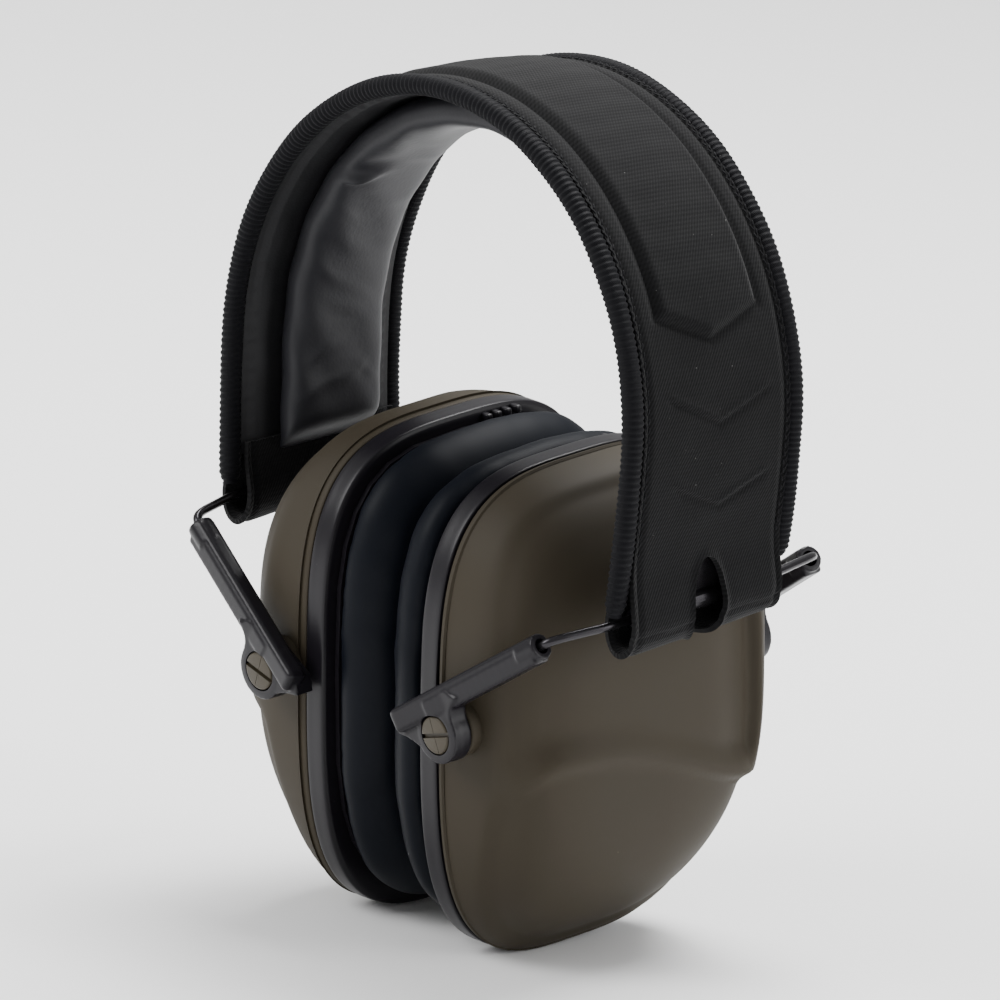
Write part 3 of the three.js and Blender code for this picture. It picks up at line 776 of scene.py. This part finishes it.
def makePad():
    piece = flatGrid("padSkin", pad["columns"], pad["rows"])
    flat = coordinates(piece)
    s = (flat[:, 0] * 2 - 1) * pad["end"]
    angle = flat[:, 1] * 2 * math.pi
    # a squarish section, fuller on the side that meets the head
    c, n = np.cos(angle), np.sin(angle)
    power = np.where(n > 0, 2 / 2.7, 2 / 3.4)
    y = np.sign(c) * np.abs(c) ** (2 / 3.4)
    rise = np.sign(n) * np.abs(n) ** power
    taper = np.sqrt(np.clip(1 - softStep(pad["end"] - 9, pad["end"] + 0.4, np.abs(s)) ** 2, 0.004, 1))
    halfDeep = pad["deep"] / 2
    middle = pad["high"] - halfDeep
    y = y * pad["halfWidth"] * (0.9 + 0.1 * taper) * (1 + 0.012 * np.sin(s * 0.41))
    face = softStep(0.1, -0.8, rise)
    out = middle + rise * halfDeep * taper + (1 - taper) * halfDeep * 0.9 + face * taper * padRelief(s, y)
    out = out - face * taper * 0.5 * (1 - (y / pad["halfWidth"]) ** 2)
    layOnBand(piece, s, angle * 6, y, np.minimum(out, pad["high"] + 0.1))
    closeSeam(piece)
    capEnds(piece)
    smoothShade(piece, 70)
    finishPiece(piece, "headband", padLeather, ["band_pad_skin", "band_pad_foam"])


makePad()
print("lining and pad made")


# ---- cups, in the lower frame ----

cup = {"halfWidth": 38.0, "middle": -24.0, "top": 23.5, "bottom": -82.8, "topPower": 3.25, "bottomPower": 3.3,
       "rimOuter": 20.8, "rimLag": 0.05, "faceLag": 0.042, "around": 160, "cushionShorter": 3.2}
fineWeld = 0.004


def cupRing(depth, halfWidth, top, bottom, power, angle):
    c, n = np.cos(angle), np.sin(angle)
    power = np.where(n >= 0, cup["topPower"], power)
    reach = np.where(n >= 0, top - cup["middle"], cup["middle"] - bottom)
    height = reach * np.sign(n) * np.abs(n) ** (2 / power)
    side = halfWidth * np.sign(c) * np.abs(c) ** (2 / power)
    lag = cup["rimLag"] + (cup["faceLag"] - cup["rimLag"]) * softStep(cup["rimOuter"], 50, depth)
    return np.stack([depth + 0 * angle, side + lag * height, cup["middle"] + height], -1)


def evenAngles(share):
    # angles that space points more evenly round the squarish outline
    angle = share * 2 * math.pi
    return angle - 0.065 * np.sin(4 * angle)


def ringPiece(name, profile, count, around, shorter=0.0):
    # profile rows are depth and inset, closed to a loop and swept round the cup's outline
    piece = flatGrid(name, around, count)
    flat = coordinates(piece)
    rows = np.array(profile + profile[:1], float)
    wrapped = np.concatenate([rows[-2:-1], rows, rows[1:2]])
    place = (1 + flat[:, 1] * (len(rows) - 1)) / (len(wrapped) - 1)
    depth, inset = smoothRow(wrapped, place).T
    points = cupRing(depth, cup["halfWidth"] - inset, cup["top"] - inset, cup["bottom"] + inset + shorter,
                     cup["bottomPower"], evenAngles(flat[:, 0]))
    return piece, points


def bothSides(piece, leftName):
    return (piece, "right"), (ownCopy(piece, leftName, (-1, 1, 1)), "left")


shell = {"rows": 84, "wall": 2.0, "sections": [
    (21.9, 36.6, 22.1, -81.3, 3.3), (21.25, 37.4, 23.0, -82.3, 3.3), (21.9, 37.8, 23.35, -82.6, 3.3),
    (24.0, 37.8, 23.2, -82.2, 3.3), (29.0, 37.4, 22.7, -79.6, 3.3), (34.0, 36.9, 21.3, -76.3, 3.26),
    (38.5, 36.0, 18.7, -72.2, 3.2), (42.6, 34.5, 14.6, -67.3, 3.1), (45.6, 32.3, 9.7, -62.5, 3.0),
    (47.7, 29.4, 3.9, -57.0, 2.9), (49.1, 24.6, -3.2, -50.0, 2.8), (49.9, 17.5, -11.7, -41.5, 2.6),
    (50.3, 8.5, -18.2, -32.0, 2.3), (50.4, 0.02, -23.98, -24.02, 2.0)],
    "scoopDeep": 3.1, "scoopHalf": (34.7, 44.0, 28.0), "scoopPower": 3.3, "panelDeep": 1.5, "panelFrom": 38.0,
    "bossRadius": 6.0, "bossLong": 9.2, "bossFace": 39.7, "pivotX": 28.2, "pivotZ": -25.4}


def arcHeight(y):
    # the ridge across the face: level at the front, falling towards the back
    return -31.2 - 0.0558 * np.clip(-26 - y, 0, None) ** 2 - 0.2835 * softStep(-30, 22, y) * (y + 28)


def shellRelief(depth, y, z):
    # how far the face sinks inwards in the scoop, and how far the lower panel is set back
    arc = arcHeight(y)
    above = softStep(arc - 1.0, arc + 6.0, z)
    half = np.where(y < 0, shell["scoopHalf"][0], shell["scoopHalf"][2])
    rim = (np.abs(y) / half) ** shell["scoopPower"]
    rim = rim + (np.abs(z - cup["middle"]) / shell["scoopHalf"][1]) ** shell["scoopPower"]
    scoop = shell["scoopDeep"] * softStep(1.24, 0.90, rim) * (1 - 0.45 * softStep(0.6, 0.05, rim)) * above
    below = softStep(arc - 0.6, arc - 4.6, z)
    edge = shell["panelFrom"] - 0.29 * (-40 - z)
    deep = shell["panelDeep"] * (1 + 0.8 * softStep(2, 26, y))
    return scoop, deep * below * softStep(edge - 2.6, edge + 2.2, depth)


def makeShell():
    piece = flatGrid("cupShellRight", cup["around"], shell["rows"])
    flat = coordinates(piece)
    depth, halfWidth, top, bottom, power = smoothRow(shell["sections"], flat[:, 1] ** 0.92).T
    angle = evenAngles(flat[:, 0])
    setCoordinates(piece, cupRing(depth, np.maximum(halfWidth, 0.02), top, bottom, power, angle))
    closeSeam(piece, fineWeld)
    faceAlong(piece, 0)
    points, outward = coordinates(piece), normals(piece)
    facing = softStep(22.5, 27, points[:, 0])
    scoop, setBack = shellRelief(*points.T)
    points = points - outward * (setBack * facing)[:, None]
    points[:, 0] -= scoop * facing
    setCoordinates(piece, toRow(points))
    useModifier(piece, 'SOLIDIFY', thickness=shell["wall"] * mm, offset=-1)
    bosses = []
    for side in (-1, 1):
        boss = newPiece("boss" + str(side), "cylinder", vertices=48, radius=shell["bossRadius"],
                        depth=shell["bossLong"])
        roundRim(boss, 0.7)
        turned = coordinates(boss)[:, [0, 2, 1]] * (1, side, 1)
        place = np.array([shell["pivotX"], side * (shell["bossFace"] - shell["bossLong"] / 2), shell["pivotZ"]])
        setCoordinates(boss, toRow(turned + place))
        faceOutward(boss)
        bosses.append(boss)
    piece = joinPieces("cupShellRight", [piece] + bosses)
    smoothShade(piece, 60)
    for one, side in bothSides(piece, "cupShellLeft"):
        finishPiece(one, "cup_" + side, oliveShell, ["cup_shell_" + side])


makeShell()
print("shells made")

rimProfile = [
    (15.5, 0.55), (15.8, 0.12), (16.6, 0.0), (18.5, 0.0), (20.2, 0.0), (20.75, 0.2), (20.8, 0.9), (20.8, 2.4),
    (19.5, 2.7), (17.6, 2.9), (17.3, 6.0), (17.3, 10.6), (16.2, 11.0), (15.3, 10.6), (15.3, 6.0), (15.3, 1.6)]
teeth = {"count": 4, "fromY": 9.0, "step": 2.7, "size": (2.6, 1.5, 1.7), "depth": 13.9, "down": 2.2}


def makeRim():
    piece, points = ringPiece("cupRimRight", rimProfile, 64, cup["around"])
    setCoordinates(piece, toRow(points))
    closeSeam(piece)
    parts = [piece]
    for k in range(teeth["count"]):
        tooth = newPiece("tooth" + str(k), "cube", size=1)
        setCoordinates(tooth, coordinates(tooth) * teeth["size"])
        useModifier(tooth, 'BEVEL', width=0.35, segments=3)
        place = np.array([teeth["depth"] + 0.6, teeth["fromY"] + k * teeth["step"], cup["top"] - teeth["down"]])
        setCoordinates(tooth, toRow(coordinates(tooth) + place))
        parts.append(tooth)
    piece = joinPieces("cupRimRight", parts)
    smoothShade(piece, 40)
    for one, side in bothSides(piece, "cupRimLeft"):
        finishPiece(one, "cup_" + side, greyPlastic, ["cup_rim_" + side])


makeRim()

cushion = {"rows": 60, "around": 200, "profile": [
    (13.5, 5.2), (12.9, 4.2), (11.9, 2.2), (10.0, 1.15), (7.6, 1.25), (5.0, 2.5), (2.7, 4.6), (1.1, 7.2),
    (0.35, 10.2), (0.45, 12.6), (1.6, 14.9), (4.0, 16.3), (8.0, 16.6), (12.0, 16.2), (13.5, 15.6), (13.6, 12.0),
    (13.6, 8.0)]}


def makeCushion():
    piece, points = ringPiece(
        "cushionSkinRight", cushion["profile"], cushion["rows"], cushion["around"], cup["cushionShorter"])
    setCoordinates(piece, points)
    closeSeam(piece, fineWeld)
    points = coordinates(piece)
    outward = normals(piece)
    turn = np.arctan2(points[:, 2] - cup["middle"], points[:, 1])
    soft = 0.10 * np.sin(9 * turn + 0.6) + 0.07 * np.sin(17 * turn + 2) + 0.05 * np.sin(31 * turn)
    tucks = 0.16 * np.maximum(np.sin(58 * turn), 0) ** 3 * softStep(9.5, 12.6, points[:, 0])
    give = soft * softStep(0.4, 2.2, points[:, 0]) * softStep(13.2, 11, points[:, 0]) - tucks
    points = points + outward * give[:, None]
    points[:, 0] = np.maximum(points[:, 0], 0.3)
    setCoordinates(piece, toRow(points))
    smoothShade(piece)
    for one, side in bothSides(piece, "cushionSkinLeft"):
        finishPiece(one, "cup_" + side, cushionSkin,
                    ["cushion_skin_" + side, "cushion_foam_" + side])


makeCushion()
print("rims and cushions made")

screen = {"depth": 16.3, "inset": 11.6, "sag": 1.1, "rows": 26, "around": 96, "thick": 0.8, "cutShare": 0.93}


def makeScreen():
    piece = flatGrid("earScreenRight", screen["around"], screen["rows"])
    flat = coordinates(piece)
    share = 1 - flat[:, 1] * 0.995
    angle = evenAngles(flat[:, 0])
    outer = cupRing(screen["depth"] + 0 * share, cup["halfWidth"] - screen["inset"], cup["top"] - screen["inset"],
                    cup["bottom"] + screen["inset"], cup["bottomPower"], angle)
    centre = np.array([screen["depth"], 0, -31.0])
    points = centre + (outer - centre) * share[:, None]
    dimple = 0.18 * np.cos(points[:, 1] * 1.6) * np.cos(points[:, 2] * 1.6) * softStep(1, 0.8, share)
    points[:, 0] += screen["sag"] * softStep(1.0, 0.3, share) * 0.4 + dimple
    setCoordinates(piece, points)
    closeSeam(piece, fineWeld)
    setCoordinates(piece, toRow(coordinates(piece)))
    useModifier(piece, 'SOLIDIFY', thickness=screen["thick"] * mm, offset=0)
    smoothShade(piece, 50)
    for one, side in bothSides(piece, "earScreenLeft"):
        finishPiece(one, "cup_" + side, screenFoam, ["ear_screen_" + side])


makeScreen()

damper = {"sections": [
    (22.2, 4.0, -20.0, -28.0, 2.4), (22.2, 28.5, 12.0, -71.0, 2.4), (23.2, 29.8, 13.6, -72.6, 2.4),
    (29.0, 29.5, 12.5, -69.6, 2.3), (36.0, 28.0, 10.0, -64.5, 2.1), (41.5, 24.5, 3.5, -56.5, 2.0),
    (43.2, 20.0, -3.0, -50.0, 2.0), (43.2, 3.0, -21.0, -27.0, 2.0)], "rows": 40, "around": 96}


def makeDamper():
    piece = flatGrid("damperFoamRight", damper["around"], damper["rows"])
    flat = coordinates(piece)
    points = cupRing(*smoothRow(damper["sections"], flat[:, 1]).T, evenAngles(flat[:, 0]))
    face = softStep(23.5, 22.4, points[:, 0])
    points[:, 0] += face * 0.7 * (1 + np.cos(points[:, 1] * 0.7) * np.cos(points[:, 2] * 0.7))
    setCoordinates(piece, toRow(points))
    closeSeam(piece)
    capEnds(piece)
    smoothShade(piece, 60)
    for one, side in bothSides(piece, "damperFoamLeft"):
        finishPiece(one, "cup_" + side, screenFoam, ["damper_foam_" + side])


makeDamper()
print("screens and dampers made")


# ---- wires, arms and pivots, in the lower frame ----

arm = {"tip": (16.5, -44.8, -25.3), "mouth": (54.4, -37.7, -1.0), "halfHigh": 2.7, "halfDeep": 2.2,
       "pivot": (28.2, -25.4), "earRadius": 6.3, "earOuter": 44.7, "earInner": 40.1, "headRadius": 4.1,
       "voxel": 0.33}
wire = {"radius": 0.95, "insideArm": 30.0, "corner": 22.4, "sides": 8}
tip, mouth = np.array(arm["tip"]), np.array(arm["mouth"])
armAlong = (mouth - tip) / np.linalg.norm(mouth - tip)
armAcross = np.array([0.0, 1.0, 0.0]) - armAlong * armAlong[1]
armAcross = armAcross / np.linalg.norm(armAcross)
armUp = np.cross(armAlong, armAcross)


def bezierPoints(a, b, c, count):
    t = np.linspace(0, 1, count)[:, None]
    return (1 - t) ** 2 * a + 2 * t * (1 - t) * b + t * t * c


def makeWire():
    legEnd = mouth - armAlong * wire["insideArm"]
    beyond = mouth + armAlong * 3
    leave = mouth + armAlong * 1
    corner = np.array([lower["hingeX"], -wire["corner"], lower["hingeZ"]])
    afterCorner = corner + (beyond - corner) * 0.3
    beforeCorner = corner + (0, 4.5, 0)
    run = corner + (beyond - corner) * 0.72
    lastRun = np.linspace(beforeCorner, [lower["hingeX"], -0.1, lower["hingeZ"]], 5)[1:]
    half = np.concatenate([[legEnd], bezierPoints(leave, beyond, run, 9),
                           bezierPoints(afterCorner, corner, beforeCorner, 12), lastRun])
    path = toRow(np.concatenate([half, half[::-1] * (1, -1, 1)]))
    curve = bpy.data.curves.new("yokeWireRight", 'CURVE')
    curve.dimensions = '3D'
    curve.bevel_depth = wire["radius"] * mm
    curve.bevel_resolution = wire["sides"]
    curve.use_fill_caps = True
    line = curve.splines.new('POLY')
    line.points.add(len(path) - 1)
    for point, place in zip(line.points, path):
        point.co = (*place, 1)
    piece = bpy.data.objects.new("yokeWireRight", curve)
    bpy.context.scene.collection.objects.link(piece)
    onlySelect(piece)
    bpy.ops.object.convert(target='MESH')
    piece = named("yokeWireRight")
    smoothShade(piece, 60)
    for one, side in bothSides(piece, "yokeWireLeft"):
        finishPiece(one, "yoke_" + side, blackSteel, ["yoke_wire_" + side])


makeWire()


def bladeAlong(name, place, size, bevel, segments):
    # a bevelled block whose x runs along the bar, y across and z up it
    block = newPiece(name, "cube", size=1)
    setCoordinates(block, coordinates(block) * size)
    useModifier(block, 'BEVEL', width=bevel, segments=segments)
    local = coordinates(block) + place
    setCoordinates(block, tip + local[:, :1] * armAlong + local[:, 1:2] * armAcross + local[:, 2:] * armUp)
    return block


def roundAlongY(name, radius, start, end, place, vertices=48):
    piece = newPiece(name, "cylinder", vertices=vertices, radius=radius, depth=abs(end - start))
    points = coordinates(piece)[:, [0, 2, 1]]
    setCoordinates(piece, points + np.array([place[0], (start + end) / 2, place[1]]))
    faceOutward(piece)
    return piece


def rodAlongBar(name, radius, start, end, vertices=32):
    piece = newPiece(name, "cylinder", vertices=vertices, radius=radius, depth=end - start)
    local = coordinates(piece) + (0, 0, (start + end) / 2)
    setCoordinates(piece, tip + local[:, 2:] * armAlong + local[:, :1] * armAcross + local[:, 1:2] * armUp)
    faceOutward(piece)
    return piece


def cutWith(piece, cutter):
    useModifier(piece, 'BOOLEAN', operation='DIFFERENCE', object=cutter, solver='EXACT')
    bpy.data.objects.remove(cutter)


def turnInXZ(points, angle, place):
    x, y, z = points.T
    c, n = math.cos(angle), math.sin(angle)
    return np.stack([x * c - z * n + place[0], y, x * n + z * c + place[1]], -1)


def makeEarPlate():
    # the web that joins the eye to the bar, drawn in the bar's slope and thickened along y
    slope = math.atan2(mouth[2] - tip[2], mouth[0] - tip[0])
    radius = arm["earRadius"]
    left = bezierPoints(np.array([-11.6, 4.3]), np.array([-7.6, 1.6]), np.array([-radius * 0.96, -1.2]), 8)
    turn = np.linspace(math.pi * 1.06, math.pi * 2, 24)
    bottom = np.stack([np.cos(turn), np.sin(turn)], -1) * radius
    right = bezierPoints(np.array([radius, 0.0]), np.array([radius + 0.3, 3.6]), np.array([10.6, 4.5]), 8)
    outline = np.concatenate([left, bottom, right[1:], [[8, 7.2], [-9, 7.2]]])
    mesh = bpy.data.meshes.new("earPlate")
    mesh.from_pydata([(x, 0, z) for x, z in outline], [], [tuple(range(len(outline)))])
    piece = bpy.data.objects.new("earPlate", mesh)
    bpy.context.scene.collection.objects.link(piece)
    useModifier(piece, 'SOLIDIFY', thickness=arm["earOuter"] - arm["earInner"], offset=0)
    local = coordinates(piece) - np.array([0, (arm["earOuter"] + arm["earInner"]) / 2, 0])
    setCoordinates(piece, turnInXZ(local, slope, arm["pivot"]))
    faceOutward(piece)
    return piece


def makeArms():
    length = float(np.linalg.norm(mouth - tip))
    high, deep = arm["halfHigh"] * 2, arm["halfDeep"] * 2
    bar = bladeAlong("bar", (length / 2, 0, 0), (length, deep, high), 1.15, 6)
    step = bladeAlong(
        "barStep", (length * 0.6, -deep * 0.06, -high * 0.2), (length * 0.76, deep, high * 0.8), 0.6, 3)
    collar = rodAlongBar("collar", arm["halfHigh"] + 0.12, length - 5.5, length + 0.1, 40)
    plate = makeEarPlate()
    barrel = roundAlongY("barrel", arm["earRadius"] + 0.05, -arm["earInner"] - 2.6, -arm["earInner"], arm["pivot"])
    outer = -arm["earOuter"]
    flange = roundAlongY("flange", arm["headRadius"] + 1.15, outer - 0.12, outer + 1, arm["pivot"])
    piece = joinPieces("armFrontRight", [bar, step, collar, plate, barrel, flange])
    useModifier(piece, 'REMESH', mode='VOXEL', voxel_size=arm["voxel"])
    useModifier(piece, 'SMOOTH', factor=0.5, iterations=3)
    cutWith(piece, rodAlongBar("bore", wire["radius"] + 0.75, length - 4, length + 3))
    cutWith(piece, rodAlongBar("deepBore", wire["radius"] + 0.4, length - 33, length - 3))
    cutWith(piece, roundAlongY("headBore", arm["headRadius"] + 0.28, outer - 3, outer + 1.9, arm["pivot"], 64))
    cutWith(piece, roundAlongY("shankBore", 1.75, outer, -arm["earInner"] + 2, arm["pivot"], 32))
    makeFour(piece, 42, "arm", greyPlastic, {"front": "front_arm_", "rear": "rear_arm_"}, "arm_")


def makeFour(piece, sharp, stem, material, bodies, nodeStem):
    # front right is modelled; the rear is its mirror in the lower frame, and the left mirrors both
    rear = ownCopy(piece, stem + "RearRight", (1, -1, 1))
    for one, end in ((piece, "front"), (rear, "rear")):
        setCoordinates(one, toRow(coordinates(one)))
        smoothShade(one, sharp)
        for each, side in bothSides(one, stem + end.title() + "Left"):
            finishPiece(each, bodies[end] + side, material, [nodeStem + end + "_" + side])


makeArms()
print("wires and arms made")

screw = {"slotWide": 0.95, "slotDeep": 0.9, "slotTurn": -16, "lineWide": 0.12}


def makeScrews():
    face = -arm["earOuter"] - 0.35
    head = roundAlongY("screwHead", arm["headRadius"], face, -arm["earOuter"] + 1.5, arm["pivot"], 64)
    roundRim(head, 0.45)
    shank = roundAlongY("screwShank", 1.45, -arm["earOuter"] + 1.2, -arm["earOuter"] + 12, arm["pivot"], 32)
    for wide, deep, turn in ((screw["slotWide"], screw["slotDeep"], screw["slotTurn"]),
                             (screw["lineWide"], 0.08, screw["slotTurn"] + 86)):
        cutter = newPiece("slotCutter", "cube", size=1)
        local = coordinates(cutter) * (12, deep * 2, wide) + (0, face, 0)
        setCoordinates(cutter, turnInXZ(local, -math.radians(turn), arm["pivot"]))
        cutWith(head, cutter)
    piece = joinPieces("screwFrontRight", [head, shank])
    makeFour(piece, 35, "screw", screwOlive, {"front": "cup_", "rear": "rear_arm_"}, "pivot_screw_")


makeScrews()
print("screws made")


# ---- CAD nodes that keep their own shape ----

keptFinishes = {"band": blackSteel, "pivot": brassInsert, "cushion": greyPlastic, "hem": greyPlastic}
for nodeName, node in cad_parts.items():
    if not node.hide_render:
        node.data.materials.clear()
        node.data.materials.append(keptFinishes[nodeName.split("_")[0]])
print("kept nodes:", [name for name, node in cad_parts.items() if not node.hide_render])

bpy.context.view_layer.update()
